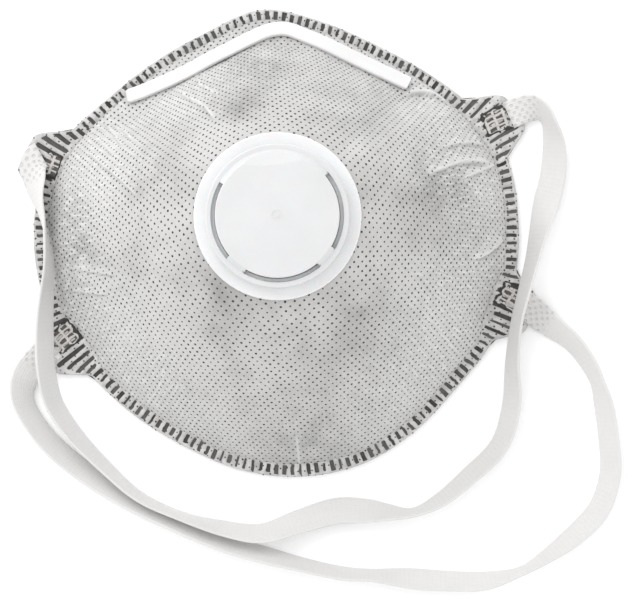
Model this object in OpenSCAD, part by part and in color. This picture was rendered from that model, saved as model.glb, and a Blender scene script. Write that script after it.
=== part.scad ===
// Moulded cup respirator with an exhalation valve, a nose clip and two elastic headbands.
// Frame: the rim lies on z = 0, +Z points out of the front, +Y points to the nose. Millimetres.

/* [Cup] */
// Height of the moulded dome above the rim plane
cup_h = 54; // [46:1:60]
// Slope law of the dome: higher values give a fuller dome
cup_power = 1.7; // [1.5:0.1:2.1]
// Width of the flat welded flange around the foot of the dome
flange_w = 3.4; // [2.6:0.2:4.4]
// How far the upper right tab reaches past the flange
tab_right = 8.4; // [6:0.2:10]
// How far the upper left tab reaches past the flange
tab_left = 7.4; // [6:0.2:10]
// How far the two lower tabs reach past the flange
tab_lower = 6.8; // [5:0.2:8]

/* [Layers] */
// Thickness of the dotted outer cover
cover_t = 0.5; // [0.3:0.1:0.7]
// Thickness of the carbon felt
carbon_t = 0.7; // [0.4:0.1:1.0]
// Thickness of the filter web
filter_t = 0.5; // [0.3:0.1:0.8]
// Thickness of the stiff support shell
shell_t = 1.4; // [1.0:0.1:1.8]
// Thickness of the soft lining
lining_t = 0.4; // [0.3:0.1:0.6]

/* [Valve] */
// Distance of the valve from the middle of the cup, towards the nose
valve_y = 5.6; // [3:0.2:7]
// Radius of the valve seat's flange
seat_r = 20.9; // [19.5:0.1:21.2]
// Radius of the cover's snap ring
cap_r = 17.8; // [17.2:0.1:18.2]
// Radius of the flap
flap_r = 14.2; // [13.8:0.1:14.4]
// Thickness of the flap
flap_t = 0.4; // [0.3:0.1:0.5]
// Distance of the flap's hinge line from the middle of the valve
hinge_y = 9.4; // [8.8:0.2:10]

/* [Nose clip and foam] */
// Width of the nose clip
clip_w = 4.2; // [3.8:0.2:4.4]
// Thickness of the nose clip
clip_t = 1.2; // [1.1:0.1:1.4]
// Thickness of the foam strip under the nose clip
foam_t = 3.2; // [2:0.2:4]

/* [Headbands] */
// Width of the flat elastic
band_w = 7.4; // [6:0.2:8]
// Thickness of the flat elastic
band_t = 0.8; // [0.6:0.1:1]

/* [Hidden] */
fine = 96;

// Radius of the rim every 15 degrees from the chin (-90) to the nose (90), on each side
rim_step = 15;
RIM_RIGHT = [62.6, 62.8, 61.6, 60.6, 62.0, 62.9, 63.4, 64.2, 62.4, 59.6, 58.5, 60.0, 62.4];
RIM_LEFT = [62.6, 61.6, 60.2, 60.5, 61.9, 64.6, 65.9, 66.3, 64.2, 60.3, 59.0, 59.6, 62.4];
top_i = len(RIM_RIGHT) - 1;
upper_tab_a = 24.5;
lower_tab_a = -21;
tab_half = 9.5;
tab_flat = 0.36;
tab_dip = 1.8;
nose_trim = 0.7;

// The moulded seat for the nose clip
nose_half = 46;
nose_fade = 12;
ledge = 0.135;
ledge_slope = 30;

// The flat pad under the valve
pad_z = cup_h - 9.6;
pad_rho = 0.355;
mean_foot = 58;
hole_rho = 0.27;
press = 0.55;

// Layers in the flange are pressed thin
gap = 0.05;
flange_gap = 0.03;
cover_p = 0.3;
carbon_p = 0.25;
filter_p = 0.2;
shell_p = 0.4;
lining_p = 0.2;
flange_t = cover_p + carbon_p + filter_p + shell_p + lining_p + 4 * flange_gap;
wall_t = cover_t + carbon_t + filter_t + shell_t + lining_t + 4 * gap;

// Grid of the moulded walls
around = 80;
STATIONS = [hole_rho, 0.345, 0.385, 0.47, 0.58, 0.69, 0.79];
foot_band = 0.04;
last = len(STATIONS) + 1;
rings = last + 2;

// Heights in the valve, above the pad
seat_gap = 0.06;
seat_plate = 1.5;
seat_edge = 1;
spoke_z = 0.6;
lip_h = 2.4;
hub_h = 1.8;
flap_gap = 0.04;
cover_z = seat_plate + flap_gap;
rib_h = 4.55;
cap_ring_h = 5.6;
cap_disc_h = 7.2;
cap_dome = 0.7;
cap_wall = 1;
collar_below = 0.3;

// Widths in the valve
disc_r = 15.4;
hole_r = 15.35;
bore_r = 12.6;
lip_w = 1;
rib_w = 1.15;
snug = 0.05;
spoke_w = 1.4;
hub_r = 2.4;
slot_w = 1.1;
slot_turn = 70;
clamp_w = 1.6;
hinge_gap = 0.1;
facet_y = 12.2;
facet_turn = -17;
edge = 0.3;
GATE = [0.5, 1.3, 0.12];
tall = 30;

// Route of each headband: x, y, z and tilt; the outer edge stands up as the tilt grows
UPPER = [
    [63.2, 28.5, 1.95, 0], [66.5, 29.6, 2, 2], [69.6, 30, 2.4, 22], [72, 28.8, 3.6, 55],
    [73.6, 25.5, 4, 65], [74.4, 19.5, 3, 42], [73.6, 12, 2.2, 28], [71.4, 5, 2, 24],
    [68.6, -2.5, 3.6, 52], [65.8, -10.8, 5.2, 66], [62.9, -18.6, 6.6, 70], [60.3, -26.4, 6.4, 72],
    [58.3, -37, 4.2, 66], [57.1, -48.4, 3.5, 53], [53, -58.7, 3.5, 53], [44.6, -66, 3.7, 56],
    [36, -71.9, 4, 66], [28.5, -74.6, 4.2, 78], [22, -74, 3.8, 60], [15.8, -73.1, 2.7, 35],
    [7.9, -72.6, 2.2, 25], [-1.7, -74.4, 2.7, 36], [-12, -76.6, 3.5, 52], [-21.8, -74.4, 3.9, 63],
    [-32.2, -70.4, 4.2, 78], [-43.4, -64, 4.2, 76], [-52, -55.2, 4.1, 69], [-59.3, -46.2, 3.9, 60],
    [-64, -37.2, 4.2, 55], [-65.1, -28.6, 5.8, 54], [-64.8, -19.4, 5.8, 56], [-64, -12.4, 5.9, 62],
    [-63.1, -7.1, 6.2, 68], [-62.2, -2.4, 7.1, 74], [-61.8, 1.5, 7.7, 79], [-61.8, 5.2, 7.4, 86],
    [-62.1, 9, 6.4, 96], [-62.5, 12.5, 5.6, 104], [-63, 15.8, 5.3, 112], [-63.6, 19.4, 4.5, 131],
    [-63.9, 22.8, 3.7, 152], [-64.2, 24.8, 3.2, 166], [-64.1, 26.3, 3, 175], [-63.6, 27.4, 2.85, 180],
    [-62.8, 28.3, 2.75, 180], [-61.7, 28.8, 2.7, 180]
];
LOWER = [
    [62.8, -22.1, 1.95, 0], [65.6, -24.3, 2, 4], [69.6, -28.4, 2.7, 34], [74.7, -33.3, 3.5, 52],
    [78.4, -39.3, 3.8, 60], [80.4, -44.8, 4, 66], [81.5, -50.5, 3.6, 54], [82.1, -59, 3.4, 50],
    [81.9, -67.9, 3.3, 48], [79.3, -75.7, 3.2, 46], [75.4, -80.7, 3.2, 46], [69.1, -85.5, 3.5, 54],
    [62.6, -89.3, 4.1, 70], [55.3, -92.6, 4.2, 80], [45.8, -94.3, 3.6, 56], [35.7, -93.5, 3.4, 50],
    [27, -92.2, 3.3, 48], [16.5, -90.3, 4.1, 70], [8.3, -89, 4, 68], [-2.7, -85.6, 4, 66],
    [-11.7, -82.4, 3.7, 58], [-19.5, -79.4, 3.7, 57], [-27.1, -75.8, 3.7, 57], [-37.4, -70.2, 3.7, 57],
    [-47.5, -63.8, 3.5, 52], [-57.6, -56, 3.2, 46], [-65.2, -48.7, 3.2, 45], [-70.2, -41.3, 3.2, 46],
    [-72.4, -35, 3, 40], [-71.2, -29.6, 2.2, 18], [-67.2, -25.1, 1.96, 0], [-63, -22.1, 1.95, 0]
];

// Welded band ends: x, y, direction and length
WELD_UL = [-59.3, 26, 155, 4.4];
WELD_UR = [59.6, 27.4, 17, 7];
WELD_LL = [-59.7, -19.8, 215, 7.2];
WELD_LR = [59.5, -19.8, -35, 7.2];
weld_w = 7;
weld_h = 0.75;
weld_z = flange_t + flange_gap;

// Route of the nose clip's middle: x, y, z
CLIP = [
    [-37.6, 42.2, 3.3], [-32.7, 43.4, 4.2], [-26.3, 45.4, 5.3], [-20.2, 47.6, 6.3], [-14.1, 50.3, 6.3],
    [-8.6, 52.5, 6], [-3.6, 54.6, 5.4], [0.2, 56, 4.8], [2.6, 56.5, 4.4], [5, 56.6, 4.15],
    [7.4, 56, 4.1], [11, 54.2, 4.35], [16.1, 51.5, 4.7], [22.4, 47.7, 4.95], [29.5, 43.5, 4.95],
    [37.3, 39, 4.9]
];
clip_tilt = -30;
core_w = 3.2;
core_t = 0.4;
core_gap = 0.1;
foam_half = 40;
FOAM_FACE = [0.73, 0.84];

function lerp(a, b, u) = a + (b - a) * u;
function clamp01(u) = max(0, min(1, u));
function smooth(u) = let (v = clamp01(u)) v * v * (3 - 2 * v);
function unit(v) = v / norm(v);
function dir(t) = [cos(t), sin(t)];

// Angle measured on one side: the other side mirrors it
function side(t) = let (a = ((t % 360) + 360) % 360) a <= 90 ? a : a <= 270 ? 180 - a : a - 360;

// Smooth closed curve through the radii of both sides
function rim_at(i) =
    let (k = (i + 2 * top_i) % (2 * top_i))
    k <= top_i ? RIM_RIGHT[k] : RIM_LEFT[2 * top_i - k];
function base_r(t) =
    let (f = (((t + 90) % 360 + 360) % 360) / rim_step, i = floor(f), u = f - i)
    let (a = rim_at(i - 1), b = rim_at(i), c = rim_at(i + 1), d = rim_at(i + 2))
    0.5 * (2 * b + (c - a) * u + (2 * a - 5 * b + 4 * c - d) * u * u
        + (3 * b - a - 3 * c + d) * u * u * u);
function bump(t, a0) = 1 - smooth((abs(side(t) - a0) / tab_half - tab_flat) / (1 - tab_flat));
function nose(t) = 1 - smooth((90 - side(t) - nose_half) / nose_fade);
function upper_reach(t) = cos(t) > 0 ? tab_right : tab_left;
function rim_r(t) =
    base_r(t) + upper_reach(t) * bump(t, upper_tab_a) + tab_lower * bump(t, lower_tab_a);
function foot_r(t) = base_r(t) - flange_w + nose_trim * nose(t) - tab_dip * bump(t, lower_tab_a);

// The outside of the dome, from the valve pad (rho small) to its foot (rho = 1)
function spread(rho) = clamp01((rho - pad_rho) / (1 - pad_rho));
function wall_r(rho, t) = rho * lerp(mean_foot, foot_r(t), spread(rho));
function wall_z(rho, t) =
    let (f = 1 - ledge * nose(t), zl = flange_t + (1 - f) * foot_r(t) * tan(ledge_slope))
    rho >= f ? lerp(zl, flange_t, (rho - f) / max(0.001, 1 - f))
        : min(pad_z, zl + (cup_h - zl) * (1 - pow(rho / f, cup_power)));
function wall_slope(rho, t) =
    let (a = max(0.1, rho - 0.02), b = min(1, rho + 0.02))
    atan2(wall_z(a, t) - wall_z(b, t), wall_r(b, t) - wall_r(a, t));
function wall_point(rho, t, d) =
    let (s = wall_slope(rho, t), r = wall_r(rho, t) - d * sin(s), cy = valve_y * (1 - spread(rho)))
    [r * cos(t), cy + r * sin(t), wall_z(rho, t) - d * cos(s)];

// Ring k of the layer boundary at depth d in the dome and depth e in the flange:
// the stations, the top of the ledge, the foot and the rim
function station(k, t) = k < last - 1 ? STATIONS[k] : 1 - max(foot_band, ledge * nose(t));
function grid_point(k, t, d, e) =
    k < last ? wall_point(station(k, t), t, d)
        : let (r = k > last ? rim_r(t) : foot_r(t) - press * d) [each dir(t) * r, flange_t - e];
function grid(d, e) = [for (k = [0:rings - 1], i = [0:around - 1])
    grid_point(k, i * 360 / around, d, e)];
function cell(k, i, shift) =
    let (j = (i + 1) % around, o = shift + k * around)
    [o + i, o + j, o + around + j, o + around + i];

module layer(d0, e0, thick, pressed) {
    n = around * rings;
    points = concat(grid(d0, e0), grid(d0 + thick, e0 + pressed));
    faces = concat(
        [for (k = [0:rings - 2], i = [0:around - 1]) let (c = cell(k, i, 0)) each [
            [c[0], c[1], c[2]], [c[0], c[2], c[3]]]],
        [for (k = [0:rings - 2], i = [0:around - 1]) let (c = cell(k, i, n)) each [
            [c[0], c[2], c[1]], [c[0], c[3], c[2]]]],
        [for (i = [0:around - 1]) let (j = (i + 1) % around, o = n - around) each [
            [o + i, o + j, n + o + j], [o + i, n + o + j, n + o + i]]],
        [for (i = [0:around - 1]) let (j = (i + 1) % around) each [
            [i, n + i, n + j], [i, n + j, j]]]
    );
    polyhedron(points, faces);
}

// Faces between ring k and the next one, for rings of n points counted from o
function band_faces(n, o) = [for (i = [0:n - 1]) let (j = (i + 1) % n) each [
    [o + i, o + j, o + n + j], [o + i, o + n + j, o + n + i]]];
function flipped(faces) = [for (f = faces) [f[0], f[2], f[1]]];

// Closed solid through a list of equal sections
module skin(sections) {
    n = len(sections[0]);
    m = len(sections);
    faces = concat(
        [for (k = [0:m - 2]) each band_faces(n, k * n)],
        [for (i = [1:n - 2]) [0, i + 1, i]],
        [for (i = [1:n - 2]) let (o = (m - 1) * n) [o, o + i, o + i + 1]]
    );
    polyhedron([for (s = sections) each s], faces);
}

// Open-ended sleeve between two lists of equal sections
module sleeve(outer, inner) {
    n = len(outer[0]);
    m = len(outer);
    q = n * m;
    o = q - n;
    faces = concat(
        [for (k = [0:m - 2]) each band_faces(n, k * n)],
        [for (k = [0:m - 2]) each flipped(band_faces(n, q + k * n))],
        [for (i = [0:n - 1]) let (j = (i + 1) % n) each [[i, q + i, q + j], [i, q + j, j]]],
        [for (i = [0:n - 1]) let (j = (i + 1) % n) each [
            [o + i, o + j, q + o + j], [o + i, q + o + j, q + o + i]]]
    );
    polyhedron(concat([for (s = outer) each s], [for (s = inner) each s]), faces);
}

function along(path, i) =
    let (a = path[max(0, i - 1)], b = path[min(len(path) - 1, i + 1)])
    unit([b[0] - a[0], b[1] - a[1], b[2] - a[2]]);
// Section points [u, v] set across the path: u along the band's width, v along its thickness
function swept(path, section, tilts) = [for (i = [0:len(path) - 1])
    let (t = along(path, i), h = unit(cross([0, 0, 1], t)), v = cross(t, h))
    let (w = cos(tilts[i]) * h + sin(tilts[i]) * v, n = cross(t, w))
    let (p = [path[i][0], path[i][1], path[i][2]])
    [for (q = section) p + q[0] * w + q[1] * n]];
function flat_section(w, t, c) = [
    [w / 2, -t / 2 + c], [w / 2, t / 2 - c], [w / 2 - c, t / 2], [c - w / 2, t / 2],
    [-w / 2, t / 2 - c], [-w / 2, c - t / 2], [c - w / 2, -t / 2], [w / 2 - c, -t / 2]];
function tilts_of(path) = [for (p = path) p[3]];

// Moulded layers, from the outside in
module outer_cover() color("lightgray") layer(0, 0, cover_t, cover_p);
module carbon_layer() color("dimgray") layer(cover_t + gap, cover_p + flange_gap, carbon_t, carbon_p);
module filter_layer() {
    d = cover_t + carbon_t + 2 * gap;
    e = cover_p + carbon_p + 2 * flange_gap;
    color("white") layer(d, e, filter_t, filter_p);
}
module support_shell() {
    d = cover_t + carbon_t + filter_t + 3 * gap;
    e = cover_p + carbon_p + filter_p + 3 * flange_gap;
    color("whitesmoke") layer(d, e, shell_t, shell_p);
}
module inner_lining() color("snow") layer(wall_t - lining_t, flange_t - lining_p, lining_t, lining_p);

// Soft strip inside the cup, behind the nose clip
module nose_foam() {
    d0 = wall_t + 0.1;
    d1 = d0 + foam_t;
    color("gainsboro") skin([for (t = [90 - foam_half:8:90 + foam_half]) [
        wall_point(FOAM_FACE[0], t, d0), wall_point(FOAM_FACE[1], t, d0),
        wall_point(FOAM_FACE[1] - 0.01, t, d1), wall_point(FOAM_FACE[0] + 0.02, t, d1)]]);
}

// Bendable plastic strip over the nose, with a flat aluminium core inside
function clip_run(w, t, c) = swept(CLIP, flat_section(w, t, c), [for (p = CLIP) clip_tilt]);
module nose_clip() color("white")
    sleeve(clip_run(clip_w, clip_t, 0.2), clip_run(core_w + core_gap, core_t + core_gap, 0.1));
module nose_clip_core() color("silver") skin(clip_run(core_w, core_t, 0.1));

// Elastic headbands and their welded ends
module headband(path) color("white")
    skin(swept(path, flat_section(band_w, band_t, 0.2), tilts_of(path)));
module headband_upper() headband(UPPER);
module headband_lower() headband(LOWER);
module weld(place) color("gray")
    translate([place[0], place[1], weld_z]) rotate(place[2])
    translate([-place[3] / 2, -weld_w / 2, 0]) cube([place[3], weld_w, weld_h]);

// Exhalation valve, drawn from the pad up
inner_r = cap_r - cap_wall;
module at_valve() translate([0, valve_y, pad_z]) children();
module tube(r_out, r_in, z0, z1) rotate_extrude($fn = fine)
    translate([r_in, z0]) square([r_out - r_in, z1 - z0]);
module beyond(y) translate([-seat_r, y, -tall / 2]) cube([2 * seat_r, seat_r, tall]);

// Seat: flange, collar through the layers, snap rib, sealing lip, spokes, hub and the flap's clamp bar
module valve_seat() color("white") at_valve() {
    low = -wall_t - collar_below;
    rib = inner_r - snug;
    rotate_extrude($fn = fine) polygon([
        [bore_r, low], [hole_r, low], [hole_r, seat_gap], [seat_r, seat_gap], [seat_r, seat_edge],
        [seat_r - edge, seat_plate], [rib, seat_plate], [rib, rib_h], [rib - rib_w, rib_h],
        [rib - rib_w, seat_plate], [bore_r + lip_w, seat_plate], [bore_r + lip_w, lip_h],
        [bore_r, lip_h]]);
    intersection() {
        tube(bore_r + edge, 0, spoke_z, hub_h);
        for (a = [45, 135]) rotate(a)
            translate([-seat_r, -spoke_w / 2, 0]) cube([2 * seat_r, spoke_w, tall]);
    }
    cylinder(r = hub_r, h = hub_h, $fn = fine);
    intersection() {
        tube(rib - rib_w, 0, spoke_z, lip_h);
        beyond(hinge_y - clamp_w / 2);
    }
}

// Flap: the free part swings on the line where the root is clamped
module membrane() at_valve()
    translate([0, 0, lip_h + flap_gap]) cylinder(r = flap_r, h = flap_t, $fn = fine);
module valve_flap() color("lavender") difference() {
    membrane();
    at_valve() beyond(hinge_y - hinge_gap);
}
module flap_root() color("lavender") intersection() {
    membrane();
    at_valve() beyond(hinge_y + hinge_gap);
}

// Cover: snap ring, slotted disc, clamp rib, and the sloping facet over the flap's root
module arc_slot(a) rotate(a - slot_turn / 2) rotate_extrude(angle = slot_turn, $fn = fine)
    translate([disc_r, seat_plate + cap_wall]) square([slot_w, tall]);
module valve_cover() color("white") at_valve() {
    under = cap_disc_h - cap_wall;
    difference() {
        rotate_extrude($fn = fine) polygon(concat(
            [[inner_r, cover_z], [cap_r, cover_z], [cap_r, cap_ring_h - edge], [cap_r - edge, cap_ring_h],
                [disc_r + slot_w, cap_ring_h], [disc_r, cap_disc_h - edge], [disc_r - edge, cap_disc_h]],
            [for (u = [0.8:-0.2:0]) [u * disc_r, cap_disc_h + cap_dome * (1 - u * u)]],
            [[0, under], [disc_r - 2 * edge, under], [inner_r, cap_ring_h - cap_wall]]));
        for (a = [0, 180, 270]) arc_slot(a);
        translate([0, facet_y, cap_disc_h + edge]) rotate([facet_turn, 0, 0])
            translate([-seat_r, 0, 0]) cube([2 * seat_r, seat_r, tall]);
        tube(GATE[1], GATE[0], cap_disc_h + cap_dome - GATE[2], tall);
    }
    intersection() {
        tube(flap_r - edge, 0, lip_h + 2 * flap_gap + flap_t, under + edge);
        translate([-seat_r, hinge_y + edge, 0]) cube([2 * seat_r, clamp_w, tall]);
    }
}

outer_cover();
carbon_layer();
filter_layer();
support_shell();
inner_lining();
nose_foam();
nose_clip();
nose_clip_core();
headband_upper();
headband_lower();
weld(WELD_UL);  // weld_upper_left
weld(WELD_UR);  // weld_upper_right
weld(WELD_LL);  // weld_lower_left
weld(WELD_LR);  // weld_lower_right
valve_seat();
valve_cover();
valve_flap();
flap_root();
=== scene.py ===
import math

import bpy
import numpy as np
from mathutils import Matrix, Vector


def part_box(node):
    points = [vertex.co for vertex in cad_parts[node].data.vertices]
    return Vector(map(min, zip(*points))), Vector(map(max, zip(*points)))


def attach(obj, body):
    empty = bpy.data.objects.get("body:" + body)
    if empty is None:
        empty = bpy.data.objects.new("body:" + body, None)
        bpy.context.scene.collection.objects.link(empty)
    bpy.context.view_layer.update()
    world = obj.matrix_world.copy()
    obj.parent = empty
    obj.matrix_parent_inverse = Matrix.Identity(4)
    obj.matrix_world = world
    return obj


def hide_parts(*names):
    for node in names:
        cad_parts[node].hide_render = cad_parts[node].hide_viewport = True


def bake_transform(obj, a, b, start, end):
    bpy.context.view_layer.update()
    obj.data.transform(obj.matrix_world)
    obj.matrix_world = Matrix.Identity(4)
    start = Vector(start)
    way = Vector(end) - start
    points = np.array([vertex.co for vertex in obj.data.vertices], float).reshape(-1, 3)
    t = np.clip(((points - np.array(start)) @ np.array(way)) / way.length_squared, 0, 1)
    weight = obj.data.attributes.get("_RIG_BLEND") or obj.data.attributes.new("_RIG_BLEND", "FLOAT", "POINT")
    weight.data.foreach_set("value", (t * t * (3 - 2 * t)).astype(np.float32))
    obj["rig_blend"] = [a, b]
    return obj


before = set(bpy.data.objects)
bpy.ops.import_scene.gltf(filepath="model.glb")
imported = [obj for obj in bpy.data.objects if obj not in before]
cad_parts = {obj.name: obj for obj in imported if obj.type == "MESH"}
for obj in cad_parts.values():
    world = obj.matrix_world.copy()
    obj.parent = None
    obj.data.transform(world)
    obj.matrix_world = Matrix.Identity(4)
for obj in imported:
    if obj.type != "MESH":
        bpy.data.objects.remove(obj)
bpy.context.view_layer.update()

# Shapes are worked out in millimetres, in the part's own frame, and made in metres.
MM = 0.001
MASK = "mask"

# ---------------------------------------------------------------- cup shape

RIM_STEP = 15
RIM_RIGHT = [62.6, 62.8, 61.6, 60.6, 62.0, 62.9, 63.4, 64.2, 62.4, 59.6, 58.5, 60.0, 62.4]
RIM_LEFT = [62.6, 61.6, 60.2, 60.5, 61.9, 64.6, 65.9, 66.3, 64.2, 60.3, 59.0, 59.6, 62.4]
RIM = np.array(RIM_RIGHT + RIM_LEFT[11:0:-1])
FLANGE_W = 3.4
TAB_UPPER = (24.5, 8.4, 7.4)
TAB_LOWER = (-21, 6.8)
TAB_HALF = 9.5
TAB_FLAT = 0.36
TAB_DIP = 1.8
NOSE_TRIM = 0.7
NOSE_HALF = 46
NOSE_FADE = 12
LEDGE = 0.135
FOOT_BAND = 0.04
LEDGE_SLOPE = math.radians(30)
CUP_H = 54
CUP_POWER = 1.7
PAD_RHO = 0.355
MEAN_FOOT = 58
HOLE_RHO = 0.27
VALVE_Y = 5.6
PRESS = 0.55

# Thickness of each layer in the dome and pressed in the flange, from the outside in
LAYERS = {
    "outer_cover": (0.5, 0.3),
    "carbon_layer": (0.7, 0.25),
    "filter_layer": (0.5, 0.2),
    "support_shell": (1.4, 0.4),
    "inner_lining": (0.4, 0.2),
}
GAP = 0.05
FLANGE_GAP = 0.03
FLANGE_T = sum(pressed for _, pressed in LAYERS.values()) + 4 * FLANGE_GAP
WALL_T = sum(thick for thick, _ in LAYERS.values()) + 4 * GAP
PAD_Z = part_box("valve_seat")[0].z / MM + WALL_T + 0.3


def lerp(a, b, u):
    return a + (b - a) * u


def smooth(u):
    v = np.clip(u, 0, 1)
    return v * v * (3 - 2 * v)


def side(t):
    """The angle measured on one side of the cup: the other side mirrors it."""
    a = np.mod(t, 360.0)
    return np.where(a <= 90, a, np.where(a <= 270, 180 - a, a - 360))


def base_r(t):
    """Smooth curve through the rim's radii."""
    f = (np.asarray(t, float) + 90) / RIM_STEP
    i = np.floor(f).astype(int)
    u = f - i
    a, b, c, d = (RIM[np.mod(i + k, len(RIM))] for k in (-1, 0, 1, 2))
    return 0.5 * (2 * b + (c - a) * u + (2 * a - 5 * b + 4 * c - d) * u**2 + (3 * b - a - 3 * c + d) * u**3)


def bump(t, at):
    return 1 - smooth((abs(side(t) - at) / TAB_HALF - TAB_FLAT) / (1 - TAB_FLAT))


def nose(t):
    return 1 - smooth((90 - side(t) - NOSE_HALF) / NOSE_FADE)


def rim_r(t):
    reach = np.where(np.cos(np.radians(t)) > 0, TAB_UPPER[1], TAB_UPPER[2])
    return base_r(t) + reach * bump(t, TAB_UPPER[0]) + TAB_LOWER[1] * bump(t, TAB_LOWER[0])


def foot_r(t):
    return base_r(t) - FLANGE_W + NOSE_TRIM * nose(t) - TAB_DIP * bump(t, TAB_LOWER[0])


def spread(rho):
    return np.clip((rho - PAD_RHO) / (1 - PAD_RHO), 0, 1)


def wall_r(rho, t):
    return rho * lerp(MEAN_FOOT, foot_r(t), spread(rho))


def wall_z(rho, t):
    f = 1 - LEDGE * nose(t)
    shelf = FLANGE_T + (1 - f) * foot_r(t) * math.tan(LEDGE_SLOPE)
    on_shelf = lerp(shelf, FLANGE_T, (rho - f) / np.maximum(0.001, 1 - f))
    dome = shelf + (CUP_H - shelf) * (1 - np.power(np.clip(rho / f, 0, 1), CUP_POWER))
    # The dome rounds over into the flat pad under the valve
    soft = 0.5
    dome = -soft * np.logaddexp(-dome / soft, -PAD_Z / soft)
    return np.where(rho >= f, on_shelf, dome)


def wall_slope(rho, t):
    a, b = np.maximum(0.1, rho - 0.02), np.minimum(1, rho + 0.02)
    return np.arctan2(wall_z(a, t) - wall_z(b, t), wall_r(b, t) - wall_r(a, t))


def wall_point(rho, t, depth):
    """Point at a depth under the outside of the dome; rho runs from the valve (small) to the foot (1)."""
    rho, t, depth = np.broadcast_arrays(*(np.asarray(v, float) for v in (rho, t, depth)))
    slope = wall_slope(rho, t)
    r = wall_r(rho, t) - depth * np.sin(slope)
    a = np.radians(t)
    y = VALVE_Y * (1 - spread(rho)) + r * np.sin(a)
    return np.stack([r * np.cos(a), y, wall_z(rho, t) - depth * np.cos(slope)], -1)


def flange_point(r, t, depth):
    a = np.radians(t)
    r, t = np.broadcast_arrays(np.asarray(r, float), np.asarray(t, float))
    return np.stack([r * np.cos(a), r * np.sin(a), np.full(r.shape, FLANGE_T) - depth], -1)


# ---------------------------------------------------------------- smooth noise

rng = np.random.default_rng(7)
NOISE = rng.random((64, 64))


def noise(x, y):
    """Smooth noise from -1 to 1 with features about one unit across."""
    x, y = np.asarray(x, float), np.asarray(y, float)
    i, j = np.floor(x).astype(int), np.floor(y).astype(int)
    u, v = smooth(x - i), smooth(y - j)
    at = lambda a, b: NOISE[np.mod(a, 64), np.mod(b, 64)]
    top = lerp(at(i, j), at(i + 1, j), u)
    low = lerp(at(i, j + 1), at(i + 1, j + 1), u)
    return 2 * lerp(top, low, v) - 1


# ---------------------------------------------------------------- meshes


def new_object(name, points, faces, uv=None, attributes=None):
    """A mesh object from points in millimetres."""
    mesh = bpy.data.meshes.new(name)
    mesh.from_pydata((np.asarray(points) * MM).tolist(), [], faces)
    mesh.update()
    if uv is not None:
        layer = mesh.uv_layers.new(name="cloth")
        loops = np.empty(len(mesh.loops), dtype=np.int32)
        mesh.loops.foreach_get("vertex_index", loops)
        layer.data.foreach_set("uv", np.asarray(uv, np.float32)[loops].ravel())
    for key, values in (attributes or {}).items():
        made = mesh.attributes.new(key, "FLOAT", "POINT")
        made.data.foreach_set("value", np.asarray(values, np.float32).ravel())
    mesh.shade_smooth()
    obj = bpy.data.objects.new(name, mesh)
    bpy.context.scene.collection.objects.link(obj)
    return obj


def grid_faces(rows, columns, start=0, wrap=True, flip=False):
    """Quads of a grid whose row runs around (wrap) or across; row 0 first."""
    faces = []
    for k in range(rows - 1):
        for i in range(columns if wrap else columns - 1):
            j = (i + 1) % columns
            a, b = start + k * columns, start + (k + 1) * columns
            quad = (a + i, b + i, b + j, a + j)
            faces.append(quad[::-1] if flip else quad)
    return faces


def loft(name, sections, uv=None, attributes=None, flip=False):
    """Closed solid through sections of equally many points."""
    m, n = len(sections), len(sections[0])
    faces = grid_faces(m, n, flip=flip)
    first, final = list(range(n)), [(m - 1) * n + i for i in range(n)]
    faces.append(first if flip else first[::-1])
    faces.append(final[::-1] if flip else final)
    points = np.concatenate([np.asarray(s) for s in sections])
    return new_object(name, points, faces, uv, attributes)


def finish_piece(obj, material, node):
    """Material and body of a piece, and the plain node that it takes the place of."""
    obj.data.materials.clear()
    obj.data.materials.append(material)
    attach(obj, MASK)
    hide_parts(node)


# ---------------------------------------------------------------- shader maths


class Value:
    """A shader socket that takes part in Python arithmetic."""

    def __init__(self, shader, socket):
        self.shader, self.socket = shader, socket

    def _math(self, operation, a, b):
        return self.shader.node("ShaderNodeMath", {"operation": operation}, {0: a, 1: b})[0]

    def __add__(self, other):
        return self._math("ADD", self, other)

    def __radd__(self, other):
        return self._math("ADD", other, self)

    def __sub__(self, other):
        return self._math("SUBTRACT", self, other)

    def __rsub__(self, other):
        return self._math("SUBTRACT", other, self)

    def __mul__(self, other):
        return self._math("MULTIPLY", self, other)


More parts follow.
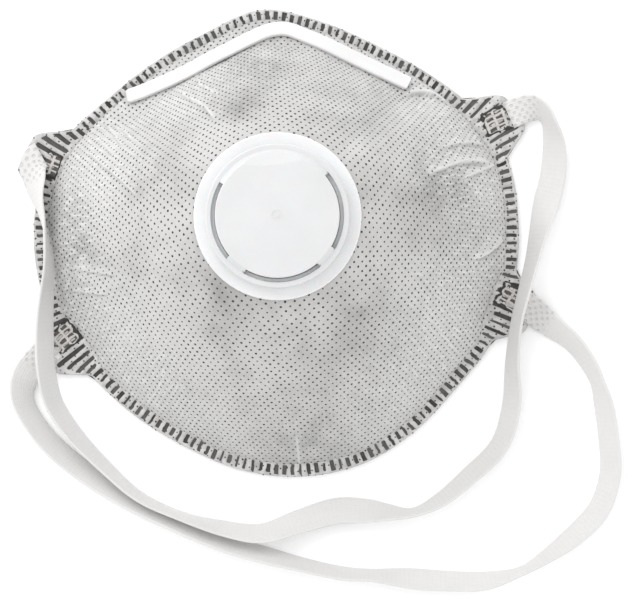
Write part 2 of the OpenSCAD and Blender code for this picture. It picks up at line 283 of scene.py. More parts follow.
class Shader:
    """Builds one material's nodes."""

    def __init__(self, name, **constants):
        self.material = bpy.data.materials.new(name)
        self.material.use_nodes = True
        self.nodes = self.material.node_tree.nodes
        self.links = self.material.node_tree.links
        self.surface = self.nodes["Principled BSDF"]
        for key, value in constants.items():
            self.surface.inputs[key.replace("_", " ")].default_value = value

    def node(self, kind, settings=None, inputs=None):
        made = self.nodes.new(kind)
        for key, value in (settings or {}).items():
            setattr(made, key, value)
        for key, value in (inputs or {}).items():
            self.put(made.inputs[key], value)
        return [Value(self, out) for out in made.outputs]

    def put(self, socket, value):
        if isinstance(value, Value):
            self.links.new(value.socket, socket)
        else:
            socket.default_value = value

    def set(self, key, value):
        self.put(self.surface.inputs[key], value)

    def place(self):
        return self.node("ShaderNodeTexCoord")[3]

    def attribute(self, name):
        return self.node("ShaderNodeAttribute", {"attribute_name": name})[2]

    def uv(self):
        return self.node("ShaderNodeUVMap", {"uv_map": "cloth"})[0]

    def grain(self, scale, detail=2.0, roughness=0.5, at=None):
        """Noise from 0 to 1; scale counts features in a metre."""
        where = at or self.place()
        return self.node("ShaderNodeTexNoise", None,
                         {"Vector": where, "Scale": scale, "Detail": detail, "Roughness": roughness})[0]

    def streaks(self, across, along):
        """Noise drawn out from the middle of the cloth to its edge."""
        uv = self.node("ShaderNodeSeparateXYZ", None, {0: self.uv()})
        x, y = uv[0] - 0.5, uv[1] - 0.5
        turn = self.node("ShaderNodeMath", {"operation": "ARCTAN2"}, {0: y, 1: x})[0]
        reach = self.node("ShaderNodeMath", {"operation": "SQRT"}, {0: x * x + y * y})[0]
        where = self.node("ShaderNodeCombineXYZ", None, {0: turn * across, 1: reach * along})[0]
        return self.grain(1.0, 2, 0.6, at=where)

    def between(self, factor, a, b):
        made = self.nodes.new("ShaderNodeMix")
        made.data_type = "RGBA"
        for socket, value in ((made.inputs[0], factor), (made.inputs[6], a), (made.inputs[7], b)):
            self.put(socket, value)
        return Value(self, made.outputs[2])

    def ramp(self, value, low, high):
        """0 below low, 1 above high."""
        return self.node("ShaderNodeMapRange", {"clamp": True}, {0: value, 1: low, 2: high})[0]

    def bump(self, height, distance):
        made = self.node("ShaderNodeBump", None, {"Height": height, "Distance": distance, "Strength": 1.0})
        self.set("Normal", made[0])

    def sine(self, value):
        return self.node("ShaderNodeMath", {"operation": "SINE"}, {0: value})[0]


# How much light falls on a level surface in the studio
STUDIO = 1.3


def tone(level, warm=0.0):
    """A grey that shows at about this level, 0 to 255, in the studio light; warm or cool by a little."""
    def linear(v):
        v = v / 255
        return (v / 12.92 if v <= 0.04045 else ((v + 0.055) / 1.055) ** 2.4) / STUDIO
    return (linear(level + warm), linear(level), linear(level - warm), 1.0)


COVER_LIGHT = 215
COVER_DARK = 150


def cover_cloth():
    """Light grey nonwoven: the dark felt shows through in smudges, less where the cloth is stretched; the
    smudge map also carries painted shade, and the pleats' crests carry a painted highlight.
    """
    s = Shader("cover_cloth", Roughness=0.92, Specular_IOR_Level=0.25, Sheen_Weight=0.15, Sheen_Roughness=0.6)
    smudge_and_shade, crest, veil = s.attribute("smudge_and_shade"), s.attribute("crest"), s.attribute("veil")
    cloud = s.ramp(s.grain(85, 3, 0.6), 0.42, 0.75)
    fine = s.grain(900, 2, 0.7)
    fibre = s.grain(2600, 2, 0.6)
    streak = s.streaks(70, 45)
    # The smudge map darkens the cloth where the felt shows through, and as painted shade in the pleats'
    # creases and where the dome falls darker
    dark = smudge_and_shade * 0.9 + cloud * (0.42 - veil * 0.3) + (fine - 0.5) * 0.3 - veil * 0.06
    colour = s.between(s.ramp(dark, -0.05, 1.0), tone(COVER_LIGHT, 1), tone(COVER_DARK, 1))
    colour = s.between(s.ramp(streak, 0.48, 0.7) * veil * 0.75, colour, tone(244, 0))
    # Painted highlight: the pleats' crests turn near white
    colour = s.between(s.ramp(crest, 0.1, 1.0), colour, tone(250, 0))
    s.set("Base Color", colour)
    s.set("Roughness", 0.85 + fine * 0.12)
    s.bump(fine * 0.5 + fibre * 0.4 + streak * veil * 0.5, 0.00012)
    return s.material


def border_cloth():
    """The welded border: dark fused bars between puffy light lands."""
    s = Shader("border_cloth", Roughness=0.85, Specular_IOR_Level=0.3)
    bar, shade = s.attribute("bar"), s.attribute("shade")
    fine = s.grain(1100, 3, 0.7)
    blotch = s.grain(420, 2, 0.6)
    edge = s.ramp(bar + (fine - 0.5) * 0.45, 0.40, 0.56)
    land = s.between(s.ramp(blotch, 0.35, 0.75), tone(224, 1), tone(186, 1))
    weld = s.between(s.ramp(blotch * 0.6 + fine * 0.4 + shade * 0.45, 0.35, 1.0), tone(46, 2), tone(104, 1))
    s.set("Base Color", s.between(edge, land, weld))
    s.set("Roughness", 0.88 - edge * 0.35)
    s.bump(fine, 0.00015)
    return s.material


def dot_cloth(name, low, high):
    s = Shader(name, Roughness=0.7, Specular_IOR_Level=0.3)
    fine = s.grain(700, 2, 0.6)
    s.set("Base Color", s.between(s.ramp(fine, 0.3, 0.7), tone(low, 1), tone(high, 1)))
    s.set("Roughness", 0.6 + fine * 0.3)
    return s.material


def felt(name, light, dark, scale, bump):
    """Soft nonwoven or felt in two close shades."""
    s = Shader(name, Roughness=0.95, Specular_IOR_Level=0.2, Sheen_Weight=0.2)
    cloud, fine = s.grain(scale / 4, 3, 0.6), s.grain(scale * 3, 3, 0.7)
    patch = s.ramp(cloud * 0.5 + fine * 0.5, 0.3, 0.7)
    s.set("Base Color", s.between(patch, tone(light, 1), tone(dark, 1)))
    s.set("Roughness", 0.88 + fine * 0.1)
    s.bump(fine, bump)
    return s.material


# Ribs across the elastic, its cross threads in radians a metre, and the dots pressed in its ends
BAND_RIBS = 11
THREADS = 5200
DOT_ROWS = 2800
DOT_LINES = 3.5


def elastic_cloth():
    """Ribbed flat elastic: fine cross threads between the lengthwise ribs."""
    s = Shader("elastic_cloth", Roughness=0.8, Specular_IOR_Level=0.3, Sheen_Weight=0.3, Sheen_Roughness=0.5)
    along = s.node("ShaderNodeSeparateXYZ", None, {0: s.uv()})
    threads = s.sine(along[0] * THREADS)
    ribs = s.sine(along[1] * (2 * math.pi * BAND_RIBS))
    fine = s.grain(1500, 2, 0.6)
    cloud = s.grain(70, 2, 0.5)
    shade = ribs * 0.07 + threads * 0.05 + (fine - 0.5) * 0.5 + (cloud - 0.5) * 0.8 + 0.5
    colour = s.between(s.ramp(shade, 0, 1), tone(230, 1), tone(244, 1))
    # The ends are pressed with rows of small dots
    row = s.sine(along[0] * DOT_ROWS)
    line = s.sine(along[1] * (2 * math.pi * DOT_LINES))
    pressed = s.ramp(row * line, 0.45, 0.7) * s.attribute("end")
    s.set("Base Color", s.between(pressed * 0.3, colour, tone(196, 1)))
    s.set("Roughness", 0.72 + fine * 0.2)
    s.bump(ribs * 0.4 + threads * 0.2 + fine * 0.4 - pressed * 3.0, 0.00006)
    return s.material


def weld_cloth():
    """Pressed band end: pale, faintly pink ridges, thin dark hollows, and burnt blobs at its sides."""
    s = Shader("weld_cloth", Roughness=0.6, Specular_IOR_Level=0.4)
    ridge, burn = s.attribute("ridge"), s.attribute("burn")
    fine = s.grain(1200, 3, 0.7)
    pale = s.between(s.ramp(fine, 0.3, 0.7), tone(226, 3), tone(188, 4))
    hollow = s.between(s.ramp(ridge + (fine - 0.5) * 0.7, 0.22, 0.5), tone(92, 3), pale)
    s.set("Base Color", s.between(s.ramp(burn + (fine - 0.5) * 0.5, 0.35, 0.6), hollow, tone(58, 2)))
    s.set("Roughness", 0.45 + fine * 0.35)
    s.bump(fine, 0.0002)
    return s.material


def moulded_plastic(name, level, rough, wear=0.06, warm=0):
    """Satin injection-moulded plastic with a faint flow pattern."""
    s = Shader(name, Roughness=rough, Specular_IOR_Level=0.5, Subsurface_Weight=0.15,
               Subsurface_Scale=0.002)
    cloud, fine = s.grain(60, 3, 0.5), s.grain(2200, 2, 0.6)
    s.set("Base Color", s.between(s.ramp(cloud, 0.3, 0.7), tone(level, warm), tone(level - 8, warm)))
    s.set("Roughness", rough + cloud * wear + fine * wear)
    s.bump(fine, 0.00002)
    return s.material


def silicone():
    s = Shader("silicone", Roughness=0.35, Specular_IOR_Level=0.5, Subsurface_Weight=0.3,
               Subsurface_Scale=0.002)
    cloud = s.grain(220, 2, 0.5)
    s.set("Base Color", s.between(cloud, tone(206, -2), tone(222, -2)))
    s.set("Roughness", 0.3 + cloud * 0.15)
    return s.material


def bare_metal():
    s = Shader("core_aluminium", Metallic=1.0, Roughness=0.35)
    fine = s.grain(900, 2, 0.6)
    s.set("Base Color", s.between(fine, tone(190), tone(215)))
    s.set("Roughness", 0.3 + fine * 0.2)
    return s.material


def paper_floor():
    s = Shader("studio_floor", Roughness=0.9, Specular_IOR_Level=0.1)
    s.set("Base Color", s.between(s.grain(3, 2, 0.5), (0.97, 0.97, 0.97, 1), (0.99, 0.99, 0.99, 1)))
    return s.material


# ---------------------------------------------------------------- camera and light


def set_camera():
    """Straight above the cup, a little to the chin's side, turned 5 degrees."""
    turn = math.radians(5)
    distance, width = 650 * MM, 167.5 * MM
    data = bpy.data.cameras.new("camera")
    data.sensor_width = 36
    data.lens = 36 * distance / width
    camera = bpy.data.objects.new("camera", data)
    camera.location = (7.2 * MM, -16.2 * MM, distance + FLANGE_T * MM)
    camera.rotation_euler = (0, 0, -turn)
    bpy.context.scene.collection.objects.link(camera)
    bpy.context.scene.camera = camera


def set_light():
    world = bpy.data.worlds.new("studio")
    world.use_nodes = True
    world.node_tree.nodes["Background"].inputs["Color"].default_value = (1, 1, 1, 1)
    world.node_tree.nodes["Background"].inputs["Strength"].default_value = 1.15
    bpy.context.scene.world = world
    lamps = {"key": ((-0.5, 0.7, 0.6), 0.8, 4.5), "fill": ((0.6, -0.3, 0.9), 0.9, 0.5)}
    for name, (place, size, power) in lamps.items():
        data = bpy.data.lights.new(name, "AREA")
        data.size = size
        data.energy = power
        lamp = bpy.data.objects.new(name, data)
        lamp.location = place
        lamp.rotation_euler = (Vector((0, 0, 0.02)) - Vector(place)).to_track_quat("-Z", "Y").to_euler()
        bpy.context.scene.collection.objects.link(lamp)
    bpy.context.scene.view_settings.view_transform = "Standard"


def make_floor(material):
    half = 1500
    low = -0.05
    corners = [(-half, -half, low), (half, -half, low), (half, half, low), (-half, half, low)]
    floor = new_object("floor", corners, [(0, 1, 2, 3)])
    floor.data.materials.append(material)


# ---------------------------------------------------------------- headbands

BAND_W = 7.4
BAND_T = 0.8
RIB_H = 0.02
END_DOTS = 9
# Route of each headband's middle: x, y, z and tilt in degrees
UPPER = [
    (63.2, 28.5, 1.95, 0), (66.5, 29.6, 2, 2), (69.6, 30, 2.4, 22), (72, 28.8, 3.6, 55),
    (73.6, 25.5, 4, 65), (74.4, 19.5, 3, 42), (73.6, 12, 2.2, 28), (71.4, 5, 2, 24),
    (68.6, -2.5, 3.6, 52), (65.8, -10.8, 5.2, 66), (62.9, -18.6, 6.6, 70), (60.3, -26.4, 6.4, 72),
    (58.3, -37, 4.2, 66), (57.1, -48.4, 3.5, 53), (53, -58.7, 3.5, 53), (44.6, -66, 3.7, 56),
    (36, -71.9, 4, 66), (28.5, -74.6, 4.2, 78), (22, -74, 3.8, 60), (15.8, -73.1, 2.7, 35),
    (7.9, -72.6, 2.2, 25), (-1.7, -74.4, 2.7, 36), (-12, -76.6, 3.5, 52), (-21.8, -74.4, 3.9, 63),
    (-32.2, -70.4, 4.2, 78), (-43.4, -64, 4.2, 76), (-52, -55.2, 4.1, 69), (-59.3, -46.2, 3.9, 60),
    (-64, -37.2, 4.2, 55), (-65.1, -28.6, 5.8, 54), (-64.8, -19.4, 5.8, 56), (-64, -12.4, 5.9, 62),
    (-63.1, -7.1, 6.2, 68), (-62.2, -2.4, 7.1, 74), (-61.8, 1.5, 7.7, 79), (-61.8, 5.2, 7.4, 86),
    (-62.1, 9, 6.4, 96), (-62.5, 12.5, 5.6, 104), (-63, 15.8, 5.3, 112), (-63.6, 19.4, 4.5, 131),
    (-63.9, 22.8, 3.7, 152), (-64.2, 24.8, 3.2, 166), (-64.1, 26.3, 3, 175), (-63.6, 27.4, 2.85, 180),
    (-62.8, 28.3, 2.75, 180), (-61.7, 28.8, 2.7, 180),
]
LOWER = [
    (62.8, -22.1, 1.95, 0), (65.6, -24.3, 2, 4), (69.6, -28.4, 2.7, 34), (74.7, -33.3, 3.5, 52),
    (78.4, -39.3, 3.8, 60), (80.4, -44.8, 4, 66), (81.5, -50.5, 3.6, 54), (82.1, -59, 3.4, 50),
    (81.9, -67.9, 3.3, 48), (79.3, -75.7, 3.2, 46), (75.4, -80.7, 3.2, 46), (69.1, -85.5, 3.5, 54),
    (62.6, -89.3, 4.1, 70), (55.3, -92.6, 4.2, 80), (45.8, -94.3, 3.6, 56), (35.7, -93.5, 3.4, 50),
    (27, -92.2, 3.3, 48), (16.5, -90.3, 4.1, 70), (8.3, -89, 4, 68), (-2.7, -85.6, 4, 66),
    (-11.7, -82.4, 3.7, 58), (-19.5, -79.4, 3.7, 57), (-27.1, -75.8, 3.7, 57), (-37.4, -70.2, 3.7, 57),
    (-47.5, -63.8, 3.5, 52), (-57.6, -56, 3.2, 46), (-65.2, -48.7, 3.2, 45), (-70.2, -41.3, 3.2, 46),
    (-72.4, -35, 3, 40), (-71.2, -29.6, 2.2, 18), (-67.2, -25.1, 1.96, 0), (-63, -22.1, 1.95, 0),
]


def rounded_route(points, step):
    """Smooth curve through the points, resampled evenly; every column is carried along."""
    p = np.array(points, float)
    p = np.vstack([2 * p[0] - p[1], p, 2 * p[-1] - p[-2]])
    fine = []
    for i in range(1, len(p) - 2):
        a, b, c, d = p[i - 1], p[i], p[i + 1], p[i + 2]
        u = np.linspace(0, 1, 24, endpoint=False)[:, None]
        fine.append(0.5 * (2 * b + (c - a) * u + (2 * a - 5 * b + 4 * c - d) * u**2
                           + (3 * b - a - 3 * c + d) * u**3))
    fine = np.vstack(fine + [p[-2][None]])
    run = np.concatenate([[0], np.cumsum(np.linalg.norm(np.diff(fine[:, :3], axis=0), axis=1))])
    at = np.linspace(0, run[-1], int(round(run[-1] / step)) + 1)
    return np.stack([np.interp(at, run, fine[:, k]) for k in range(fine.shape[1])], -1), at


def frames_along(path, tilts):
    """Width and thickness directions at every point of a path."""
    along = np.gradient(path, axis=0)
    along /= np.linalg.norm(along, axis=1)[:, None]
    flat = np.cross([0, 0, 1], along)
    flat /= np.linalg.norm(flat, axis=1)[:, None]
    up = np.cross(along, flat)
    a = np.radians(tilts)[:, None]
    width = np.cos(a) * flat + np.sin(a) * up
    return width, np.cross(along, width)


def make_headband(name, points, material):
    """Flat elastic with lengthwise ribs, lying on its route."""
    route, run = rounded_route(points, 1.1)
    path = route[:, :3]
    width, face = frames_along(path, route[:, 3])
    across = np.linspace(-1, 1, 34)
    edge = np.sqrt(np.clip(1 - np.abs(across) ** 14, 0, 1))
    height = edge * (BAND_T / 2) + RIB_H * np.cos(across * math.pi * BAND_RIBS) * edge
    top = [(u, h) for u, h in zip(across, height)]
    low = [(u, -h) for u, h in zip(across[::-1], height)]
    section = np.array(top + low[1:-1])
    half = BAND_W / 2
    cup = 0.35 * noise(run / 23, np.full(len(run), 3.0)) * smooth(run / 12) * smooth((run[-1] - run) / 12)
    points_out = []
    for p, w, n, c in zip(path, width, face, cup):
        lift = section[:, 1] + c * (section[:, 0] ** 2 - 0.4)
        points_out.append(p + section[:, :1] * half * w + lift[:, None] * n)
    uv = np.array([(s * MM, 0.5 + 0.5 * q[0]) for s in run for q in section])
    end = smooth((END_DOTS - np.minimum(run, run[-1] - run)) / 1.5)
    band = loft(name, points_out, uv=uv, attributes={"end": np.repeat(end, len(section))})
    finish_piece(band, material, name.replace("_elastic", ""))
    return band


# ---------------------------------------------------------------- moulded walls

# Raised pleats of the cover: width, height and route (x, y)
PLEATS = [
    (1.8, 0.9, [(34.9, 36.2), (40.1, 36.7), (44.9, 35.6), (48.4, 32.9)]),
    (1.5, 0.6, [(42.7, 20.5), (47.6, 21.6), (52.5, 21.8), (57.0, 20.9)]),
    (1.8, 0.9, [(37.5, 13.5), (42.6, 14.9), (47.2, 16.4), (51.3, 16.9), (56.7, 16.0)]),
    (1.6, 0.8, [(46.7, 11.6), (51.4, 13.4), (56.3, 15.2), (59.0, 16.2)]),
    (1.6, 0.8, [(49.3, -8.9), (52.8, -8.0), (56.5, -5.9), (59.1, -3.6)]),
    (1.2, 0.5, [(-25.1, 43.0), (-20.4, 39.3), (-16.6, 36.0), (-13.1, 31.4)]),
    (0.9, 0.3, [(-20.1, 45.4), (-16.0, 41.5), (-12.6, 38.8)]),
    (1.2, 0.5, [(-49.4, 28.9), (-45.3, 24.9), (-41.4, 21.3), (-38.2, 17.9), (-34.9, 14.0)]),
    (1.0, 0.4, [(-47.2, 33.1), (-43.6, 29.0), (-41.0, 25.6)]),
    (1.0, 0.4, [(-58.2, -1.5), (-53.2, -2.5), (-48.6, -3.7), (-42.5, -5.1)]),
    (1.0, 0.4, [(-57.4, -7.6), (-52.1, -8.6), (-45.4, -9.8)]),
    (0.8, 0.3, [(-42.1, 37.6), (-39.4, 33.8), (-36.0, 29.3)]),
    (0.8, 0.3, [(-44.4, 36.2), (-41.5, 32.2), (-38.5, 27.9)]),
    (0.9, 0.3, [(-0.2, -49.5), (-0.5, -55.7), (-0.7, -60.8)]),
]
# Dark smudges of the felt under the cover, which also paint in shade where the dome falls darker: place,
# reach and depth
SMUDGE_AND_SHADE_SPOTS = [
    ((-1, 43), 6, 0.7), ((-4, 38), 5, 0.6), ((-8, 34), 4, 0.5), ((42, 9), 10, 0.6), ((-14, -14), 9, 0.4),
    ((18, -26), 11, 0.45), ((-52, 2), 6, 0.6), ((-55, -8), 5, 0.5), ((-54, 12), 5, 0.5), ((10, -40), 9, 0.25),
    ((30, 30), 8, 0.3), ((-30, 20), 9, 0.3), ((2, -54), 13, 0.4), ((-4, 44), 13, 0.35), ((46, -2), 12, 0.3),
]
COVER_COLUMNS = 520
COVER_ROWS = 150
LINING_ROWS = 24
# Width of cloth that the flat map covers
CLOTH_W = 200
# Where the cover lies flat under the seat, as a share of the way out, and where it comes clear of it
SEAT_EDGE = 0.36
SEAT_FADE = 0.04
FOOT_FADE = 0.03


def near_route(x, y, route):
    """Distance from each point to a route, how far along it the foot lies (0 to 1), and the side."""
    best = np.full(x.shape, 1e9)
    run = np.zeros(x.shape)
    hand = np.zeros(x.shape)
    total = sum(math.dist(a, b) for a, b in zip(route, route[1:]))
    gone = 0
    for a, b in zip(route, route[1:]):
        dx, dy = b[0] - a[0], b[1] - a[1]
        length = math.hypot(dx, dy)
        u = np.clip(((x - a[0]) * dx + (y - a[1]) * dy) / length**2, 0, 1)
        away = np.hypot(x - a[0] - u * dx, y - a[1] - u * dy)
        nearer = away < best
        best = np.where(nearer, away, best)
        run = np.where(nearer, (gone + u * length) / total, run)
        hand = np.where(nearer, np.sign((x - a[0]) * dy - (y - a[1]) * dx), hand)
        gone += length
    return best, run, hand


def cover_relief(x, y, z, rho, t):
    """How far the cover stands out, its crests with their painted highlight, its smudges of felt and painted
    shade, and how far it is stretched pale.
    """
    lift = 0.14 * noise(x / 9, y / 9 + z / 9) + 0.06 * noise(x / 3.5 + 7, y / 3.5)
    lift += 0.10 * noise(t * 0.45, rho * 2 + 5) * smooth((rho - 0.6) / 0.25)
    lift += 0.05 * noise(t * 1.1 + 9, rho * 3) * smooth((rho - 0.6) / 0.25)
    crest, crease_shade = np.zeros(x.shape), np.zeros(x.shape)
    for width, height, route in PLEATS:
        curve, _ = rounded_route([(px, py, 0) for px, py in route], 1.0)
        away, run, hand = near_route(x, y, [(px, py) for px, py, _ in curve])
        taper = smooth(run / 0.25) * smooth((1 - run) / 0.12)
        narrow = width * 0.3
        # A pleat is steep on one side and fades out on the other, with a crease at its steep foot
        fade = np.where(hand > 0, narrow, narrow * 3.4)
        shape = np.exp(-((away / fade) ** 2))
        crease = np.exp(-(((away - 1.7 * narrow) / narrow) ** 2)) * (hand > 0)
        lift += (height * shape - 0.3 * height * crease) * taper
        # Painted highlight: a thin near-white line along each crest and a soft one on the gentle side
        soft_highlight = 0.4 * np.exp(-((away / width) ** 2)) * (hand < 0)
        line = (0.35 + 0.55 * height) * np.exp(-((away / 0.36) ** 2))
        crest = np.maximum(crest, np.maximum(line, soft_highlight * height) * taper)
        crease_shade = np.maximum(crease_shade, crease * taper)
    # Smudge map: dark felt showing through, and painted shade
    smudge_and_shade = np.zeros(x.shape)
    for (sx, sy), reach, depth in SMUDGE_AND_SHADE_SPOTS:
        smudge_and_shade = np.maximum(smudge_and_shade, depth * np.exp(-(np.hypot(x - sx, y - sy) / reach) ** 2))
    # Painted shade in the crease at each pleat's steep foot goes into the smudge map
    smudge_and_shade = smudge_and_shade * (1 + 0.6 * noise(x / 4, y / 4)) + 0.4 * crease_shade
    veil = smooth((rho - 0.5 + 0.12 * noise(t / 17, np.full(t.shape, 4.0))) / 0.42)
    veil *= 1 - 0.8 * np.exp(-(((side(t) + 90) / 32) ** 2)) - 0.6 * np.exp(-(((side(t) - 90) / 30) ** 2))
    return lift, crest, smudge_and_shade, veil


def cloth_place(arc, t):
    """Place in the flat cloth of a point that lies a way from the middle, at an angle."""
    a = np.radians(t)
    return np.stack([0.5 + arc * np.cos(a) / CLOTH_W, 0.5 + (arc * np.sin(a) + VALVE_Y) / CLOTH_W], -1)


def arc_length(rho, t):
    """The way from the middle along the surface."""
    steps = np.linspace(0, 1, 200)
    arc = np.zeros(np.broadcast(rho, t).shape)
    r0, z0 = wall_r(np.zeros_like(arc), t), wall_z(np.zeros_like(arc), t)
    for u in steps[1:]:
        r1, z1 = wall_r(rho * u, t), wall_z(rho * u, t)
        arc += np.hypot(r1 - r0, z1 - z0)
        r0, z0 = r1, z1
    return arc


def surface_normals(grid):
    """Outward normals of a grid of points, rows by columns, wrapped around."""
    down = np.gradient(grid, axis=0)
    along = np.roll(grid, -1, axis=1) - np.roll(grid, 1, axis=1)
    n = np.cross(down, along)
    return n / np.maximum(1e-9, np.linalg.norm(n, axis=2))[:, :, None]


def cover_angles():
    """The cover's columns, closer together where it is pleated."""
    t = np.linspace(0, 360, 3601)
    close = 1 + 1.3 * ((side(t) > -15) & (side(t) < 60))
    run = np.concatenate([[0], np.cumsum(0.5 * (close[1:] + close[:-1]))])
    return np.interp(np.arange(COVER_COLUMNS) * run[-1] / COVER_COLUMNS, run, t)


def make_cover(material):
    """The dotted cover over the dome: its outside in full relief, and its plain inside."""
    t = cover_angles()
    rho = np.linspace(HOLE_RHO, 1, COVER_ROWS)[:, None]
    outside = wall_point(rho, t[None], 0)
    normals = surface_normals(outside)
    shape = outside.shape[:2]
    wide_rho, wide_t = np.broadcast_to(rho, shape), np.broadcast_to(t[None], shape)
    lift, crest, smudge_and_shade, veil = cover_relief(*np.moveaxis(outside, 2, 0), wide_rho, wide_t)
    under_seat = smooth((rho - SEAT_EDGE) / SEAT_FADE)
    at_foot = smooth((1 - rho) / FOOT_FADE)
    outside = outside + normals * (lift * under_seat * at_foot)[..., None]
    inner_rho = np.linspace(HOLE_RHO, 1, LINING_ROWS)[:, None]
    inside = wall_point(inner_rho, t[None], LAYERS["outer_cover"][0] * smooth((1 - inner_rho) / 0.02 + 0.6))
    arc = arc_length(wide_rho, wide_t)
    uv = cloth_place(arc, wide_t)
    n = COVER_ROWS * COVER_COLUMNS
    faces = grid_faces(COVER_ROWS, COVER_COLUMNS)
    form = new_object("cover_form", outside.reshape(-1, 3), faces, uv.reshape(-1, 2),
                      {"crest": crest, "arc": arc})
    foot, low_foot = (COVER_ROWS - 1) * COVER_COLUMNS, n + (LINING_ROWS - 1) * COVER_COLUMNS
    for i in range(COVER_COLUMNS):
        j = (i + 1) % COVER_COLUMNS
        faces.append((foot + i, low_foot + i, low_foot + j, foot + j))
        faces.append((j, n + j, n + i, i))
    faces = faces + grid_faces(LINING_ROWS, COVER_COLUMNS, start=n, flip=True)
    points = np.concatenate([outside.reshape(-1, 3), inside.reshape(-1, 3)])
    plain = np.zeros(LINING_ROWS * COVER_COLUMNS)
    both = lambda v: np.concatenate([v.ravel(), plain])
    cover = new_object("cover_dome", points, faces,
                       np.concatenate([uv.reshape(-1, 2), np.full((len(plain), 2), 0.5)]),
                       {"crest": both(crest), "smudge_and_shade": both(smudge_and_shade), "veil": both(veil)})
    finish_piece(cover, material, "outer_cover")
    return cover, form


BAR_PITCH = 2.2
BAR_STEPS = 8
BAR_HALF = 0.22
BAR_DEPTH = 0.12
LAND_H = 0.42
EDGE_DROP = 0.25
FOOT_LAP = 0.5
RIM_LAP = 0.02
BORDER_ROWS = 12


def even_angles(radius_at, count):
    """Angles that divide an outline into even lengths."""
    t = np.linspace(0, 360, 7201)
    r = radius_at(t)
    x, y = r * np.cos(np.radians(t)), r * np.sin(np.radians(t))
    run = np.concatenate([[0], np.cumsum(np.hypot(np.diff(x), np.diff(y)))])
    return np.interp(np.arange(count) * run[-1] / count, run, t), run[-1]


def make_border(material):
    """The welded border: bars pressed between puffy lands, from the dome's foot to the outer edge."""
    _, length = even_angles(base_r, 8)
    bars = int(round(length / BAR_PITCH))
    t, _ = even_angles(base_r, bars * BAR_STEPS)
    column = np.arange(bars * BAR_STEPS)
    number, across = column // BAR_STEPS, (column % BAR_STEPS + 0.5) / BAR_STEPS
    wide = BAR_HALF * (1 + 0.3 * rng.uniform(-1, 1, bars))[number]
    stop = (0.80 + 0.12 * rng.random(bars))[number]
    lean = (0.10 * rng.uniform(-1, 1, bars))[number]
    start = (0.10 + 0.12 * rng.random(bars))[number]
    shade = rng.random(bars)[number]
    # Bars stand square to the rim's curve, not to the middle of the cup
    slant = np.arctan2((base_r(t + 1) - base_r(t - 1)) / math.radians(2), base_r(t))
    shift = -np.degrees((rim_r(t) - foot_r(t)) * np.sin(slant) / base_r(t))
    sections, bar_values = [], []
    for row in range(BORDER_ROWS):
        v = row / (BORDER_ROWS - 1)
        s = t + v * shift
        r = lerp(foot_r(s) - FOOT_LAP, rim_r(s), v)
        off = np.abs(across - 0.5 + lean * (v - 0.5) + 0.05 * noise(number * 1.7, np.full(t.shape, v * 5)))
        bar = (1 - smooth((off - wide) / 0.09 + 0.5)) * smooth((v - start) / 0.06 + 0.5)
        bar = bar * smooth((stop - v) / 0.05 + 0.5)
        land = np.sin(np.clip(off / 0.5, 0, 1) * math.pi / 2)
        puff = np.sin(math.pi * np.clip(v, 0.02, 0.985)) ** 0.5
        ripple = 0.08 * noise(s * 3.1, np.full(t.shape, v * 4))
        height = (1 - bar) * (LAND_H * land * puff + ripple) - BAR_DEPTH * bar
        edge_drop = EDGE_DROP * smooth((v - 0.93) / 0.07)
        sections.append(flange_point(r, s, -height + edge_drop + 0.1 * (v == 0)))
        bar_values.append(bar)
    n = bars * BAR_STEPS
    low = LAYERS["outer_cover"][1]
    sections.append(flange_point(rim_r(t + shift) - RIM_LAP, t + shift, low))
    sections.append(flange_point(foot_r(t) - FOOT_LAP, t, low))
    bar_values += [bar_values[-1], bar_values[0]]
    m = len(sections)
    faces = grid_faces(m, n)
    for i in range(n):
        j = (i + 1) % n
        faces.append(((m - 1) * n + i, i, j, (m - 1) * n + j))
    grid = np.array(sections)
    r = np.hypot(grid[..., 0], grid[..., 1])
    arc = arc_length(np.ones(n), t)[None] + r - foot_r(t)[None]
    uv = cloth_place(arc, t[None])
    border = new_object("cover_border", grid.reshape(-1, 3), faces, uv.reshape(-1, 2),
                        {"bar": np.array(bar_values), "shade": np.broadcast_to(shade, (m, n))})
    finish_piece(border, material, "outer_cover")
    skin = new_object("border_form", grid[:BORDER_ROWS].reshape(-1, 3), grid_faces(BORDER_ROWS, n),
                      uv[:BORDER_ROWS].reshape(-1, 2),
                      {"crest": np.array(bar_values[:BORDER_ROWS]), "arc": arc[:BORDER_ROWS]})
    return border, skin


def make_wall(name, node, material, columns=160, rows=60):
    """One hidden layer of the wall with its pressed flange, as a closed smooth shell."""
    names = list(LAYERS)
    above = names[:names.index(node)]
    d0 = sum(LAYERS[k][0] + GAP for k in above)
    e0 = sum(LAYERS[k][1] + FLANGE_GAP for k in above)
    thick, pressed = LAYERS[node]
    t = np.arange(columns) * 360 / columns

    def boundary(depth, pressed_depth):
        ledge_top = 1 - np.maximum(FOOT_BAND, LEDGE * nose(t))
        rings = [wall_point(lerp(HOLE_RHO, ledge_top, u), t, depth) for u in np.linspace(0, 1, rows)]
        foot = flange_point(foot_r(t) - PRESS * depth, t, pressed_depth)
        rings += [lerp(rings[-1], foot, u) for u in (0.25, 0.5, 0.75)]
        return rings + [foot, flange_point(rim_r(t) - 0.05, t, pressed_depth)]

    loop = boundary(d0, e0) + boundary(d0 + thick, e0 + pressed)[::-1]
    m = len(loop)
    faces = grid_faces(m, columns)
    for i in range(columns):
        j = (i + 1) % columns
        faces.append(((m - 1) * columns + i, i, j, (m - 1) * columns + j))
    wall = new_object(name, np.concatenate(loop), faces)
    finish_piece(wall, material, node)
    return wall


# ---------------------------------------------------------------- bond dots


DOT_SPACING = 1.71
DOT_COUNT = 112
